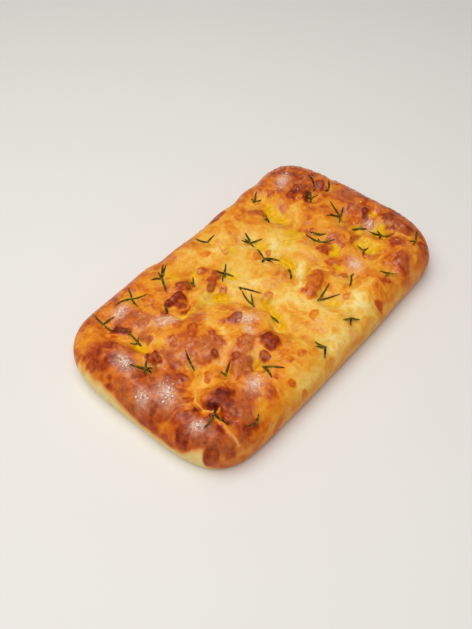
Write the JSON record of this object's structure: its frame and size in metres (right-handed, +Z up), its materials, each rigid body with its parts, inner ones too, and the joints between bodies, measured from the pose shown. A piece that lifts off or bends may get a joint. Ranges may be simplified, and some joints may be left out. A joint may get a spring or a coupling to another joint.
{
  "type": "focaccia",
  "caption": "Rectangular slab of baked focaccia with rounded corners and a dimpled, blistered crust, topped with rosemary sprigs and flaky salt.",
  "frame": {"origin": "middle of the bounding box of the loaf and its toppings, on the flat underside the loaf rests on", "axes": "+Z up, square to the underside; +X along the loaf's long side; +Y across it"},
  "size_m": [0.3, 0.178, 0.0401],
  "materials": {
    "crust": "baked bread crust, golden to deep brown, glossy with olive oil",
    "rosemary": "roasted rosemary needles, satin",
    "salt": "white flaky sea salt, crystalline"
  },
  "bodies": {
    "root": {"loaf": "crust", "rosemary_01": "rosemary", "rosemary_02": "rosemary", "rosemary_03": "rosemary", "rosemary_04": "rosemary", "rosemary_05": "rosemary", "rosemary_06": "rosemary", "rosemary_07": "rosemary", "rosemary_08": "rosemary", "rosemary_09": "rosemary", "rosemary_10": "rosemary", "rosemary_11": "rosemary", "rosemary_12": "rosemary", "rosemary_13": "rosemary", "rosemary_14": "rosemary", "rosemary_15": "rosemary", "rosemary_16": "rosemary", "rosemary_17": "rosemary", "rosemary_18": "rosemary", "rosemary_19": "rosemary", "rosemary_20": "rosemary", "rosemary_21": "rosemary", "rosemary_22": "rosemary", "rosemary_23": "rosemary", "rosemary_24": "rosemary", "rosemary_25": "rosemary", "rosemary_26": "rosemary", "rosemary_27": "rosemary", "rosemary_28": "rosemary", "rosemary_29": "rosemary", "rosemary_30": "rosemary", "rosemary_31": "rosemary", "rosemary_32": "rosemary", "rosemary_33": "rosemary", "rosemary_34": "rosemary", "rosemary_35": "rosemary", "rosemary_36": "rosemary", "rosemary_37": "rosemary", "salt_01": "salt", "salt_02": "salt", "salt_03": "salt", "salt_04": "salt", "salt_05": "salt", "salt_06": "salt", "salt_07": "salt", "salt_08": "salt", "salt_09": "salt", "salt_10": "salt", "salt_11": "salt", "salt_12": "salt"}
  },
  "joints": []
}
